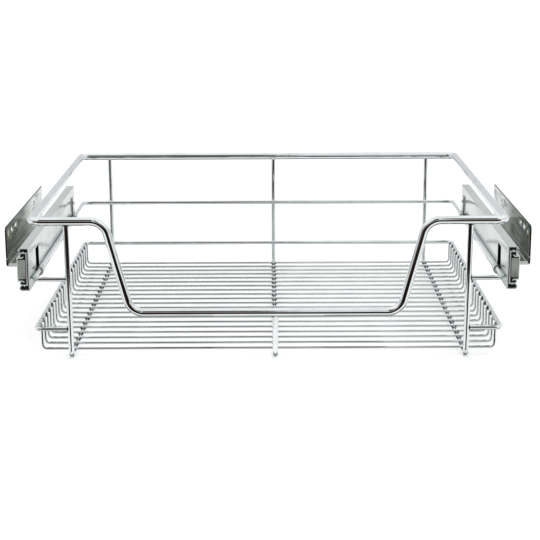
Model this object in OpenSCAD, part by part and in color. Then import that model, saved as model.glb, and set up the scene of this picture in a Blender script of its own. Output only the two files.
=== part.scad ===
// Pull out cabinet basket: a chrome wire basket carried between two
// full extension ball runners, each on a folded bracket for the cabinet side.
// Millimetres, +Z up. The basket's front faces -Y and it pulls out along -Y.
// Origin: middle of the overall box, at the underside of the three hoops.

/* [Basket] */
// Overall width between the brackets' outer faces, as wide as the cabinet inside
overall_width = 564; // [420:1:900]
// Depth of the top rim, front to back, outside to outside
basket_depth = 419; // [400:1:500]
// Height from the underside of the hoops to the top of the rim
basket_height = 153.5; // [140:0.5:200]
// How far the front leans in at the bottom
front_lean = 9; // [0:1:25]

/* [Rods] */
// Diameter of the top rim's rod
rim_rod = 9; // [7:0.5:10]
// Diameter of the three hoops that run from front to back
hoop_rod = 6; // [5:0.5:7]
// Diameter of the middle and lower rails
rail_rod = 5; // [4:0.5:6]
// Diameter of the floor wires
floor_rod = 3; // [2:0.5:4]
// How far two crossing rods sink into each other at a weld
weld_sink = 0.2; // [0.1:0.05:0.3]
// How much thinner a rod's radius is where it is bent
bend_thinning = 0.02; // [0.01:0.01:0.1]
// Bend radius of the rim's four plan corners, on the centreline
rim_corner_r = 10; // [8:1:16]
// Bend radius of the rails' corners, on the centreline
rail_corner_r = 7; // [6:1:12]
// Bend radius at the bottom of a hoop, on the centreline
hoop_bend_r = 6; // [5:1:14]
// Bend radius at the two ends of a floor wire, on the centreline
floor_bend_r = 4.5; // [3:0.5:8]

/* [Handle dip] */
// Distance from the rim's sides to the dip's upper corners, on the centreline
dip_inset = 77.5; // [60:0.5:120]
// Distance that each of the dip's slanting sides runs inward on its way down
dip_slant = 25; // [5:1:60]
// Depth of the dip, from the rim's centreline to the bar's centreline
dip_depth = 98.5; // [60:0.5:105]
// Bend radius of the dip's four corners, on the centreline
dip_bend_r = 18; // [12:1:24]
// How far the dip's middle lies to the right of the basket's middle
dip_shift = -3; // [-10:1:10]
// How far the rim's butt weld stands out round the rod
weld_bead = 0.5; // [0.2:0.1:1]
// How far the rim's butt weld lies to the right of the basket's middle
butt_weld_x = 14; // [-60:1:60]

/* [Rails and wires] */
// Height of the middle rail's centreline above the hoops' underside
mid_rail_level = 87.5; // [80:0.5:100]
// Height of the lower rail's centreline above the hoops' underside
low_rail_level = 33; // [26:0.5:50]
// Distance from the rim's sides to the outer hoops, on the centreline
hoop_inset = 36; // [25:1:50]
// How far the centre hoop lies to the right of the basket's middle
centre_hoop_x = 7; // [-20:1:20]
// Number of floor wires
floor_wire_count = 20; // [12:1:20]
// Distance from the front rim's centreline to the first floor wire
first_wire_inset = 22; // [20:1:40]
// How far the hoops' back ends reach above the rim's centreline
hoop_top_rise = 1; // [0:0.5:3]
// How far a floor wire's ends reach above the lower rail's centreline
wire_end_rise = 1; // [0:0.5:2]

/* [Runner] */
// Length of each runner
runner_length = 350; // [300:10:400]
// Height of the drawer channel
runner_height = 45.7; // [43:0.1:50]
// Thickness of a closed runner, from the basket to the bracket
runner_thickness = 12.7; // [12.5:0.1:14]
// Thickness of the runner's sheet steel
sheet = 1.2; // [1:0.1:1.3]
// Travel of the basket from closed to fully out
travel = 350; // [200:10:350]
// How far the runner's front end lies ahead of the front rim's centreline
runner_lead = 3; // [0:0.5:4]
// Height of the middle rail above the drawer channel's lower edge
rail_above_edge = 11.1; // [10:0.1:16]
// Diameter of the balls between the drawer channel and the middle member
outer_ball = 4; // [3.8:0.1:4.2]
// Diameter of the balls between the middle member and the cabinet member
inner_ball = 3.5; // [3.2:0.1:3.6]
// Play between a ball and its race
race_fit = 0.05; // [0.03:0.01:0.1]
// Play between neighbouring sheets that slide past each other
sheet_gap = 0.4; // [0.35:0.05:0.5]
// How far the middle member starts behind the runner's front end
middle_setback = 2; // [1:0.5:4]
// Length of each ball cage
cage_length = 142; // [80:2:150]
// Number of balls in each row of a cage
balls_per_row = 8; // [4:1:10]
// Thickness of a cage's strips
cage_sheet = 0.5; // [0.4:0.1:0.6]

/* [Rail tabs] */
// Width of the tabs that hold the middle rail
tab_width = 12; // [8:1:18]
// Width of the windows that the tabs are bent out of
window_width = 20; // [18:1:24]
// Height of those windows
window_height = 24.5; // [18:0.5:26]
// Distance from the runner's front end to the front window's middle
front_window = 52.5; // [30:0.5:90]
// Distance from the runner's rear end to the rear window's middle
rear_window = 27; // [20:0.5:60]
// Straight stretch of a tab on the rail's inner side
tab_drop = 2.5; // [0:0.5:4]
// Angle that a tab is curled back under the rail
tab_curl = 30; // [5:5:45]
// Radius of the small hole near the rear end of the drawer channel
rear_hole_r = 1.2; // [0.8:0.1:2]
// Distance from the runner's rear end to that hole's middle
rear_hole_inset = 6; // [4:0.5:12]

/* [Bracket] */
// Width of each bracket, from the runner to the cabinet's side
bracket_width = 23.75; // [16:0.25:40]
// Length of each bracket
bracket_length = 246; // [238:2:280]
// Distance from the runner's front end to the bracket's front end
bracket_setback = 67.5; // [40:0.5:70]
// Height of the bracket's plate
bracket_height = 43; // [38:1:60]
// Thickness of the bracket's sheet steel
bracket_sheet = 1.5; // [1.2:0.1:2]
// Height of the drawer channel's lower edge below the bracket's lower face
bracket_rise = 9.5; // [9:0.5:13]
// Height of the bracket's leg behind the cabinet member
bracket_leg = 21; // [18:1:24]
// Bend radius of the bracket's lower corners, on the inside
bracket_bend_r = 1.5; // [1:0.5:3]
// Height of the turned up lip at the front of the bracket's floor
bracket_lip = 4; // [3:0.5:6]
// Size of the chamfer at the plate's front top corner
plate_chamfer = 3; // [1:0.5:6]
// Radius of the round screw holes in the plate
screw_hole_r = 2.25; // [2:0.05:3]
// Distance between the two round screw holes
screw_pitch = 192; // [160:32:192]
// Distance from the bracket's front end to the first round screw hole
first_screw = 14; // [8:1:20]
// Distance from the plate's top edge to the screw holes' middle
screw_drop = 9; // [7:0.5:14]
// Length of each slot in the plate, end to end
slot_length = 12; // [8:1:16]
// Distance from the front round hole to the first slot, and between the slots
slot_pitch = 23; // [20:1:26]

/* [Fasteners and stops] */
// Radius of the rivets that join a bracket to its cabinet member
rivet_r = 2; // [1.5:0.1:2.5]
// Radius of a rivet's heads
rivet_head_r = 3.6; // [3:0.1:4]
// Height of a rivet's heads
rivet_head = 1; // [0.8:0.1:1.2]
// Number of rivets on each side
rivet_count = 4; // [2:1:6]
// Distance from the bracket's ends to the nearest rivets
rivet_inset = 20; // [10:1:40]
// Play between a rivet and its holes
rivet_fit = 0.05; // [0.02:0.01:0.1]
// Height of the end stops
stop_height = 20.6; // [14:0.2:22]
// Thickness of the end stops, along the runner
stop_thickness = 2.5; // [1.5:0.1:4]
// Length of the plugs that close the ball races at the front
plug_length = 6; // [4:0.5:10]
// Distance from a member's front end to its plugs
plug_inset = 1; // [0.5:0.5:3]
// Clearance around pieces that move past each other
running_gap = 0.35; // [0.3:0.01:0.5]

/* [Hidden] */
$fn = 64;
cut = 1; // how far a cut runs past the faces that it cuts
bend_lap = 0.2; // how far a straight rod runs on into a bend
corner_clear = 0.5; // how far the last floor wire stays off the rail's bend
rim_r = rim_rod / 2;
hoop_r = hoop_rod / 2;
rail_r = rail_rod / 2;
floor_r = floor_rod / 2;

// The basket's levels, counted from the hoops' underside
rim_z = basket_height - rim_r;
hoop_z = hoop_r;
floor_z = hoop_rod + floor_r - weld_sink;

// The places from side to side, from the cabinet's sides inward, and then from
// front to back. The hoops pass behind the rim
hoop_behind_rim = rim_r + hoop_r - weld_sink;
rim_run = basket_depth - rim_rod;
total_depth = rim_r + rim_run + hoop_behind_rim + hoop_r;
rim_front_y = rim_r - total_depth / 2;
rim_back_y = rim_front_y + rim_run;
hoop_back_y = rim_back_y + hoop_behind_rim;
rail_back_y = hoop_back_y - hoop_r - rail_r + weld_sink;
last_wire_y = rail_back_y - rail_corner_r - corner_clear;
first_wire_y = rim_front_y + first_wire_inset;
wire_pitch = (last_wire_y - first_wire_y) / (floor_wire_count - 1);
plate_x = overall_width / 2;
leg_x = plate_x - bracket_width;
runner_x = leg_x - runner_thickness;
side_x = runner_x - race_fit - rail_r;
hoop_spacing = side_x - hoop_inset;
wire_end_x = side_x - rail_r - floor_r + weld_sink;

// The runner's places. u counts outward from the drawer channel's face
runner_front_y = rim_front_y - runner_lead;
runner_back_y = runner_front_y + runner_length;
runner_z = mid_rail_level - rail_above_edge + runner_height / 2;
outer_race_r = outer_ball / 2 + race_fit;
inner_race_r = inner_ball / 2 + race_fit;
channel_lip = runner_height / 2;
outer_ball_v = channel_lip - sheet - outer_race_r;
middle_u = sheet + 2 * sheet_gap + cage_sheet;
middle_v = outer_ball_v - outer_race_r;
inner_ball_v = middle_v - sheet - inner_race_r;
cabinet_u = runner_thickness - sheet;
cabinet_v = inner_ball_v - inner_race_r;
inner_ball_u = cabinet_u - sheet_gap - sheet - inner_race_r;
outer_ball_u = inner_ball_u;
outer_cage_u = sheet + sheet_gap;
inner_cage_u = middle_u + sheet + sheet_gap;
race_opening = 25; // the angle of a race's lower lip below the ball's middle
pocket_gap = 0.1; // the play of a ball in its cage

// Each cage starts where half of its own travel carries it to the far end
middle_front_y = runner_front_y + middle_setback;
middle_back_y = runner_back_y - stop_thickness - running_gap;
inner_cage_y = runner_front_y + travel / 4 + (runner_length - travel / 2 - cage_length) / 2;
outer_cage_y = inner_cage_y + middle_setback;
ball_margin = 6; // from a cage's end to its nearest ball
ball_pitch = (cage_length - 2 * ball_margin) / (balls_per_row - 1);

// The bracket's places
bracket_z = runner_z - runner_height / 2 + bracket_rise;
bracket_front_y = runner_front_y + bracket_setback;
bracket_back_y = bracket_front_y + bracket_length;
screw_z = bracket_z + bracket_height - screw_drop;
rivet_pitch = (bracket_length - 2 * rivet_inset) / (rivet_count - 1);

SIDES = ["left", "right"];
WIRES = [for (i = [1:floor_wire_count]) str("floor_wire_", i < 10 ? "0" : "", i)];
SIDE_NODES = ["bracket", "cabinet_member", "middle_member", "drawer_channel",
    "outer_cage", "inner_cage", "outer_balls", "inner_balls", "rivets",
    "front_stop", "rear_stop", "outer_race_plugs", "inner_race_plugs"];

// How far back the leaning front lies at a height
function front_y(z) = rim_front_y + front_lean * (rim_z - z) / (rim_z - hoop_z);

// ---- bent rods ----

function unit(v) = v / norm(v);
function turn(a, b, c) = acos(unit(b - a) * unit(c - b));

// How far short of corner b a straight stretch ends, where the bend takes over
function setback(a, b, c, r) = r == 0 ? 0 : r * tan(turn(a, b, c) / 2);
function stretch_end(a, b, c, r) = r == 0 ? 0 : setback(a, b, c, r) - bend_lap;

// A frame at a point, with its first two axes given
module framed(at, x, y) {
    z = cross(x, y);
    multmatrix([
        [x[0], y[0], z[0], at[0]],
        [x[1], y[1], z[1], at[1]],
        [x[2], y[2], z[2], at[2]],
        [0, 0, 0, 1]]) children();
}

// A straight rod from a to b
module straight(a, b, d) {
    along = unit(b - a);
    across = unit(cross(along, abs(along[2]) < 0.9 ? [0, 0, 1] : [1, 0, 0]));
    framed(a, across, cross(along, across)) cylinder(h = norm(b - a), d = d);
}

// The bend at corner b between the stretches from a and to c
module bend(a, b, c, r, d) {
    before = unit(b - a);
    after = unit(c - b);
    inward = unit(after - before * (after * before));
    centre = b - before * setback(a, b, c, r) + inward * r;
    framed(centre, -inward, before)
        rotate_extrude(angle = turn(a, b, c)) translate([r, 0]) circle(d / 2 - bend_thinning);
}

// A rod through the points p, bent to the radius r[i] at each point. Between
// two points with radius 0 there is no rod, so those are an open rod's ends
module bent_rod(p, r, d) {
    n = len(p);
    for (i = [0:n - 1]) {
        a = p[(i + n - 1) % n];
        b = p[i];
        c = p[(i + 1) % n];
        e = p[(i + 2) % n];
        next_r = r[(i + 1) % n];
        along = unit(c - b);
        if (r[i] > 0) bend(a, b, c, r[i], d);
        if (r[i] + next_r > 0)
            straight(b + along * stretch_end(a, b, c, r[i]), c - along * stretch_end(b, c, e, next_r), d);
    }
}

// ---- the wire basket ----

// The rim is one closed rod. A bead shows where its two ends are welded together
module top_rim() {
    dip_z = rim_z - dip_depth;
    top_half = side_x - dip_inset;
    bar_half = top_half - dip_slant;
    p = [
        [-side_x, rim_back_y, rim_z],
        [-side_x, rim_front_y, rim_z],
        [dip_shift - top_half, rim_front_y, rim_z],
        [dip_shift - bar_half, front_y(dip_z), dip_z],
        [dip_shift + bar_half, front_y(dip_z), dip_z],
        [dip_shift + top_half, rim_front_y, rim_z],
        [side_x, rim_front_y, rim_z],
        [side_x, rim_back_y, rim_z]];
    c = rim_corner_r;
    d = dip_bend_r;
    color("gainsboro") {
        bent_rod(p, [c, c, d, d, d, d, c, c], rim_rod);
        translate([butt_weld_x, rim_back_y, rim_z]) rotate([0, 90, 0]) rotate_extrude()
            translate([rim_r - weld_bead, 0]) circle(2 * weld_bead);
    }
}

// A rail is open at the front: its ends are welded to the outer hoops
module rail(z) {
    y = front_y(z);
    p = [
        [-hoop_spacing, y, z],
        [-side_x, y, z],
        [-side_x, rail_back_y, z],
        [side_x, rail_back_y, z],
        [side_x, y, z],
        [hoop_spacing, y, z]];
    r = rail_corner_r;
    low = z - rail_rod;
    high = z + rail_rod;
    color("gainsboro") difference() {
        bent_rod(p, [0, r, r, r, r, 0], rail_rod);
        for (x = [-hoop_spacing, hoop_spacing])
            straight([x, front_y(low), low], [x, front_y(high), high], hoop_rod);
    }
}

// A hoop runs down the front, under the floor and up behind the back rim.
// Its front end is cut to sit under the rod that it is welded to
module hoop(x, top_z) {
    top_y = front_y(top_z);
    p = [
        [x, top_y, top_z],
        [x, front_y(hoop_z), hoop_z],
        [x, hoop_back_y, hoop_z],
        [x, hoop_back_y, rim_z + hoop_top_rise]];
    color("gainsboro") difference() {
        bent_rod(p, [0, hoop_bend_r, hoop_bend_r, 0], hoop_rod);
        straight([x - hoop_rod, top_y, top_z], [x + hoop_rod, top_y, top_z], rim_rod);
    }
}

// A floor wire lies on the hoops, and its ends are welded inside the lower rail
module floor_wire(i) {
    y = first_wire_y + i * wire_pitch;
    end_z = low_rail_level + wire_end_rise;
    p = [
        [-wire_end_x, y, end_z],
        [-wire_end_x, y, floor_z],
        [wire_end_x, y, floor_z],
        [wire_end_x, y, end_z]];
    color("silver") bent_rod(p, [0, floor_bend_r, floor_bend_r, 0], floor_rod);
}

// ---- the runners: profiles in u (outward) and v (up) ----

module on_side(side) {
    if (side == "left") mirror([1, 0, 0]) children();
    else children();
}

module along_runner(from_y, to_y) {
    translate([runner_x, to_y, runner_z]) rotate([90, 0, 0])
        linear_extrude(to_y - from_y) children();
}

module both_edges() {
    children();
    mirror([0, 1]) children();
}

// Part of a ring of sheet round a ball, between two angles less than 180 apart
module race(u, v, r, from, to) {
    reach = 3 * (r + sheet);
    middle = (from + to) / 2;
    translate([u, v]) intersection() {
        difference() {
            circle(r + sheet);
            circle(r);
        }
        polygon([[0, 0], reach * [cos(from), sin(from)],
            reach * [cos(middle), sin(middle)], reach * [cos(to), sin(to)]]);
    }
}

module channel_profile() {
    translate([0, -channel_lip]) square([sheet, 2 * channel_lip]);
    both_edges() {
        translate([0, channel_lip - sheet]) square([outer_ball_u, sheet]);
        race(outer_ball_u, outer_ball_v, outer_race_r, 0, 90);
    }
}

module middle_profile() {
    translate([middle_u, -middle_v]) square([sheet, 2 * middle_v]);
    both_edges() {
        translate([middle_u, middle_v - sheet]) square([inner_ball_u - middle_u, sheet]);
        race(inner_ball_u, inner_ball_v, inner_race_r, 0, 90);
        race(outer_ball_u, outer_ball_v, outer_race_r, 180 + race_opening, 270);
    }
}

module cabinet_profile() {
    translate([cabinet_u, -cabinet_v]) square([sheet, 2 * cabinet_v]);
    both_edges() {
        translate([inner_ball_u, cabinet_v - sheet]) square([runner_thickness - inner_ball_u, sheet]);
        race(inner_ball_u, inner_ball_v, inner_race_r, 180 + race_opening, 270);
    }
}

// A cage is a bent strip: a web, and an edge through each row of balls
module cage_profile(u, ball_u, ball_v, race_r) {
    half = cage_sheet / 2;
    width = ball_u + race_r - running_gap - u;
    difference() {
        translate([u, -ball_v - half]) square([width, 2 * ball_v + cage_sheet]);
        translate([u + cage_sheet, half - ball_v]) square([width, 2 * ball_v - cage_sheet]);
    }
}

// The tab is bent over the rail, down its inner side and back under it
module tab_profile() {
    fit_r = rail_r + race_fit;
    translate([-fit_r, 0]) {
        race(0, 0, fit_r, 0, 90);
        race(0, 0, fit_r, 90, 180);
        translate([-fit_r - sheet, -tab_drop]) square([sheet, tab_drop]);
        race(0, -tab_drop, fit_r, 180, 270);
        race(0, -tab_drop, fit_r, 270, 270 + tab_curl);
    }
}

// ---- the runners: pieces ----

function window_middles() = [runner_front_y + front_window, runner_back_y - rear_window];

module drawer_channel() {
    rail_v = mid_rail_level - runner_z;
    color("lightgray") {
        difference() {
            along_runner(runner_front_y, runner_back_y) channel_profile();
            for (y = window_middles())
                translate([runner_x - cut, y - window_width / 2, mid_rail_level])
                    cube([sheet + 2 * cut, window_width, window_height]);
            translate([runner_x - cut, runner_back_y - rear_hole_inset, mid_rail_level + window_height])
                rotate([0, 90, 0]) cylinder(h = sheet + 2 * cut, r = rear_hole_r);
        }
        for (y = window_middles())
            along_runner(y - tab_width / 2, y + tab_width / 2) translate([0, rail_v]) tab_profile();
    }
}

module middle_member() {
    color("silver") along_runner(middle_front_y, middle_back_y) middle_profile();
}

module cabinet_member() {
    color("silver") difference() {
        along_runner(runner_front_y, runner_back_y) cabinet_profile();
        rivet_shanks(rivet_r + rivet_fit);
    }
}

module balls(d, u, v, from_y) {
    color("white") for (i = [0:balls_per_row - 1]) for (edge = [-1, 1])
        translate([runner_x + u, from_y + ball_margin + i * ball_pitch, runner_z + edge * v])
            sphere(d = d);
}

module cage(web_u, d, race_r, u, v, from_y) {
    color("dimgray") difference() {
        along_runner(from_y, from_y + cage_length) cage_profile(web_u, u, v, race_r);
        for (i = [0:balls_per_row - 1])
            translate([runner_x + u, from_y + ball_margin + i * ball_pitch, runner_z - v - cut])
                cylinder(h = 2 * (v + cut), r = d / 2 + pocket_gap);
    }
}

// A stop closes the end of the cabinet member, clear of the sheets that slide by
module end_stop(from_y, from_u) {
    color("darkgray") along_runner(from_y, from_y + stop_thickness)
        translate([from_u, -stop_height / 2]) square([cabinet_u - from_u, stop_height]);
}

// Plugs fill a race at its front end, from the sheet they are held by
module outer_race_plugs() {
    top = channel_lip - sheet - running_gap;
    from_u = outer_cage_u + cage_sheet + 2 * sheet_gap;
    color("black") along_runner(middle_front_y + plug_inset, middle_front_y + plug_inset + plug_length)
        both_edges() difference() {
            translate([from_u, middle_v - sheet])
                square([outer_ball_u + outer_race_r / 2 - from_u, top - middle_v + sheet]);
            middle_profile();
            translate([middle_u, 0]) square([2 * outer_ball_u, middle_v - sheet / 2]);
            race_gap();
        }
}

// The room that the drawer channel's curved lip needs
module race_gap() {
    difference() {
        translate([outer_ball_u, outer_ball_v]) square(2 * outer_race_r);
        translate([outer_ball_u, outer_ball_v]) circle(outer_race_r - running_gap);
    }
}

module inner_race_plugs() {
    top = middle_v - sheet - running_gap;
    from_u = inner_cage_u;
    color("black") along_runner(runner_front_y + stop_thickness, runner_front_y + plug_inset + plug_length)
        both_edges() difference() {
            translate([from_u, cabinet_v - sheet / 2])
                square([inner_ball_u + inner_race_r / 2 - from_u, top - cabinet_v + sheet / 2]);
            cabinet_profile();
            translate([inner_ball_u, 0]) square([inner_ball_u, cabinet_v]);
            translate([inner_ball_u, inner_ball_v]) difference() {
                square(2 * inner_race_r);
                circle(inner_race_r - running_gap);
            }
        }
}

// ---- the brackets and their rivets ----

module rivet_places() {
    for (i = [0:rivet_count - 1])
        translate([0, bracket_front_y + rivet_inset + i * rivet_pitch, runner_z]) children();
}

module rivet_shanks(r) {
    rivet_places() translate([runner_x + cabinet_u - cut, 0, 0]) rotate([0, 90, 0])
        cylinder(h = sheet + bracket_sheet + 2 * cut, r = r);
}

module rivets() {
    grip = sheet + bracket_sheet;
    color("lightgray") rivet_places() translate([runner_x + cabinet_u, 0, 0]) rotate([0, 90, 0]) {
        cylinder(h = grip, r = rivet_r);
        translate([0, 0, -rivet_head]) cylinder(h = rivet_head, r = rivet_head_r);
        translate([0, 0, grip]) cylinder(h = rivet_head, r = rivet_head_r);
    }
}

// A quarter ring of bracket sheet in the corner between two of its walls
module bracket_corner(quadrant) {
    outer = bracket_bend_r + bracket_sheet;
    intersection() {
        difference() {
            circle(outer);
            circle(bracket_bend_r);
        }
        rotate(quadrant * 90) square(outer);
    }
}

module bracket_profile() {
    outer = bracket_bend_r + bracket_sheet;
    width = plate_x - leg_x;
    translate([0, outer]) square([bracket_sheet, bracket_leg - outer]);
    translate([outer, outer]) bracket_corner(2);
    translate([outer, 0]) square([width - 2 * outer, bracket_sheet]);
    translate([width - outer, outer]) bracket_corner(3);
    translate([width - bracket_sheet, outer]) square([bracket_sheet, bracket_height - outer]);
}

// A slot through the plate, drawn along Y and ending in half circles
module slot(y, length, r) {
    run = length - 2 * r;
    for (end = [-run / 2, run / 2])
        translate([plate_x - bracket_sheet - cut, y + end, screw_z]) rotate([0, 90, 0])
            cylinder(h = bracket_sheet + 2 * cut, r = r);
    translate([plate_x - bracket_sheet - cut, y - run / 2, screw_z - r])
        cube([bracket_sheet + 2 * cut, run, 2 * r]);
}

module bracket() {
    outer = bracket_bend_r + bracket_sheet;
    first_y = bracket_front_y + first_screw;
    top_z = bracket_z + bracket_height;
    color("lightgray") difference() {
        union() {
            translate([leg_x, bracket_back_y, bracket_z]) rotate([90, 0, 0])
                linear_extrude(bracket_length) bracket_profile();
            translate([leg_x + outer, bracket_front_y, bracket_z])
                cube([plate_x - leg_x - 2 * outer, bracket_sheet, bracket_lip]);
        }
        translate([plate_x - outer, bracket_front_y, top_z]) rotate([45, 0, 0])
            cube([3 * outer, 2 * plate_chamfer, sqrt(2) * plate_chamfer], center = true);
        rivet_shanks(rivet_r + rivet_fit);
        for (y = [first_y, first_y + screw_pitch])
            translate([plate_x - bracket_sheet - cut, y, screw_z]) rotate([0, 90, 0])
                cylinder(h = bracket_sheet + 2 * cut, r = screw_hole_r);
        for (y = [first_y + slot_pitch, first_y + 2 * slot_pitch, first_y + screw_pitch - slot_pitch])
            slot(y, slot_length, screw_hole_r);
    }
}

module side_part(part) {
    if (part == "bracket") bracket();
    if (part == "cabinet_member") cabinet_member();
    if (part == "middle_member") middle_member();
    if (part == "drawer_channel") drawer_channel();
    if (part == "outer_cage")
        cage(outer_cage_u, outer_ball, outer_race_r, outer_ball_u, outer_ball_v, outer_cage_y);
    if (part == "inner_cage")
        cage(inner_cage_u, inner_ball, inner_race_r, inner_ball_u, inner_ball_v, inner_cage_y);
    if (part == "outer_balls") balls(outer_ball, outer_ball_u, outer_ball_v, outer_cage_y);
    if (part == "inner_balls") balls(inner_ball, inner_ball_u, inner_ball_v, inner_cage_y);
    if (part == "rivets") rivets();
    if (part == "front_stop") end_stop(runner_front_y, inner_cage_u);
    if (part == "rear_stop") end_stop(runner_back_y - stop_thickness, outer_cage_u + sheet_gap);
    if (part == "outer_race_plugs") outer_race_plugs();
    if (part == "inner_race_plugs") inner_race_plugs();
}

top_rim();
rail(mid_rail_level);  // mid_rail
rail(low_rail_level);  // lower_rail
hoop(-hoop_spacing, rim_z);  // left_hoop
hoop(centre_hoop_x, rim_z - dip_depth);  // centre_hoop
hoop(hoop_spacing, rim_z);  // right_hoop
for (i = [0:floor_wire_count - 1])
    floor_wire(i);
for (side = SIDES) for (part = SIDE_NODES)
    on_side(side) side_part(part);
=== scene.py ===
"""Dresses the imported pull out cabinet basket: wires, ball runners, brackets and a plain studio."""

import math

import bmesh
import bpy
from mathutils import Matrix, Vector


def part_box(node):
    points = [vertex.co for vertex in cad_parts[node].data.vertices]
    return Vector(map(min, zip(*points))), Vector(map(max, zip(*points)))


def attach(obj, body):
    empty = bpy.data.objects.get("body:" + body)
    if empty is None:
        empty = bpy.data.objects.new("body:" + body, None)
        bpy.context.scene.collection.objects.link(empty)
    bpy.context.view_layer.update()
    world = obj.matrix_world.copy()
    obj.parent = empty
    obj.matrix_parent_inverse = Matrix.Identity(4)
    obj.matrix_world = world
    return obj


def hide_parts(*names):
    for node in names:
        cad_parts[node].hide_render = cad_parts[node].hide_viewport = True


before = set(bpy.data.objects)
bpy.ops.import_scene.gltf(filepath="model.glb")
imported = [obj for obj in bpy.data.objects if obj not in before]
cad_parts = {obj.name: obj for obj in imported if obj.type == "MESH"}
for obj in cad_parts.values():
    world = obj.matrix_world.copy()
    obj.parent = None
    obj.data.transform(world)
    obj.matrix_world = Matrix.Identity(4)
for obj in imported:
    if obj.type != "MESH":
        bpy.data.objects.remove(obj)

bl_info = {
    "name": "Pull out cabinet basket",
    "version": (1, 0, 0),
    "blender": (4, 5, 0),
    "location": "View3D > Sidebar > Basket",
    "description": "Builds the wire basket, its ball runners and brackets, and a plain studio",
    "category": "Object",
}

SIDES = ("left", "right")
HOOPS = ("left_hoop", "centre_hoop", "right_hoop")
RIM_LOW, RIM_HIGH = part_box("top_rim")
HOOP_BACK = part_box("left_hoop")[1].y
FIRST_WIRE, LAST_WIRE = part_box("floor_wire_01"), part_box("floor_wire_20")

WHITE = (1.0, 1.0, 1.0)
# Near black, painted as the shade inside the runners and in their windows.
RECESS_SHADE = (0.012, 0.011, 0.010)
STEP = 0.0001  # width of the soft step at a cut edge, in metres


# ---- helpers: nodes ----


class Part:
    """One output socket of a node tree, which takes part in sums and products."""

    def __init__(self, tree, socket):
        self.tree = tree
        self.socket = socket

    def _math(self, operation, first, second):
        return self.tree.add("ShaderNodeMath", {0: first, 1: second}, operation=operation)

    def __add__(self, other):
        return self._math("ADD", self, other)

    __radd__ = __add__

    def __sub__(self, other):
        return self._math("SUBTRACT", self, other)

    def __rsub__(self, other):
        return self._math("SUBTRACT", other, self)

    def __mul__(self, other):
        return self._math("MULTIPLY", self, other)

    __rmul__ = __mul__

    def absolute(self):
        return self._math("ABSOLUTE", self, 0.0)

    def smooth(self, low, high):
        """0 below low, 1 above high, with a soft step between them."""
        sockets = {0: self, 1: low, 2: high, 3: 0.0, 4: 1.0}
        return self.tree.add("ShaderNodeMapRange", sockets, interpolation_type="SMOOTHSTEP")

    def fade(self, low, high):
        """1 below low, 0 above high, with a soft step between them."""
        return 1.0 - self.smooth(low, high)


class Tree:
    """Adds nodes to a shader or geometry tree."""

    def __init__(self, nodes):
        self.tree = nodes

    def add(self, kind, sockets=None, output=0, **settings):
        """Adds a node: its settings, then its sockets' values or links. Returns an output."""
        node = self.tree.nodes.new(kind)
        for key, value in settings.items():
            setattr(node, key, value)
        for key, value in (sockets or {}).items():
            if isinstance(value, Part):
                self.tree.links.new(value.socket, node.inputs[key])
            else:
                node.inputs[key].default_value = value
        return Part(self, node.outputs[output]) if node.outputs else node


def split(tree, vector):
    """The three components of a vector."""
    parts = tree.add("ShaderNodeSeparateXYZ", {0: vector}).socket.node.outputs
    return [Part(tree, part) for part in parts]


def mix_colour(tree, share, first, second):
    """The colour between first and second, by share."""
    colours = [c if isinstance(c, Part) else (*c, 1.0) for c in (first, second)]
    sockets = {0: share, 6: colours[0], 7: colours[1]}
    return tree.add("ShaderNodeMix", sockets, output=2, data_type="RGBA")


def dimmed(tint, share):
    """A colour made darker, down to a share of its light."""
    return tuple(share * c for c in tint)


def new_material(name):
    """An empty material, its tree, and its object coordinates."""
    material = bpy.data.materials.new(name)
    material.use_nodes = True
    material.node_tree.nodes.clear()
    tree = Tree(material.node_tree)
    return material, tree, tree.add("ShaderNodeTexCoord", output="Object")


def finish_material(material, tree, sockets):
    """Closes a material with a Principled shader. A plain number stays on its own socket."""
    shader = tree.add("ShaderNodeBsdfPrincipled", sockets)
    tree.add("ShaderNodeOutputMaterial", {"Surface": shader})
    return material


def noise(tree, place, scale=1.0, detail=2.0, stretch=None):
    """Noise over a piece, from 0 to 1. stretch draws it out along the axes with small values."""
    if stretch:
        place = tree.add("ShaderNodeMapping", {"Vector": place, "Scale": stretch})
    sockets = {"Vector": place, "Scale": scale, "Detail": detail}
    return tree.add("ShaderNodeTexNoise", sockets)


def bump(tree, height, strength, distance):
    sockets = {"Strength": strength, "Distance": distance, "Height": height}
    return tree.add("ShaderNodeBump", sockets)


# ---- finishes ----


def chrome_finish(name, tint, dullness):
    """Bright chrome plate: a mirror, faintly cloudy and uneven from the drawn wire below."""
    material, tree, place = new_material(name)
    cloud = noise(tree, place, scale=35.0, detail=3.0)
    haze = noise(tree, place, scale=420.0)
    drawn = noise(tree, place, scale=60.0, detail=1.0)
    return finish_material(material, tree, {
        "Base Color": mix_colour(tree, cloud.smooth(0.35, 0.7), tint, dimmed(tint, 0.9)),
        "Metallic": 1.0,
        "Roughness": dullness + 0.05 * haze.smooth(0.45, 0.8) + 0.02 * cloud,
        "Normal": bump(tree, drawn + 0.1 * haze, strength=0.12, distance=0.0003),
    })


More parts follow.
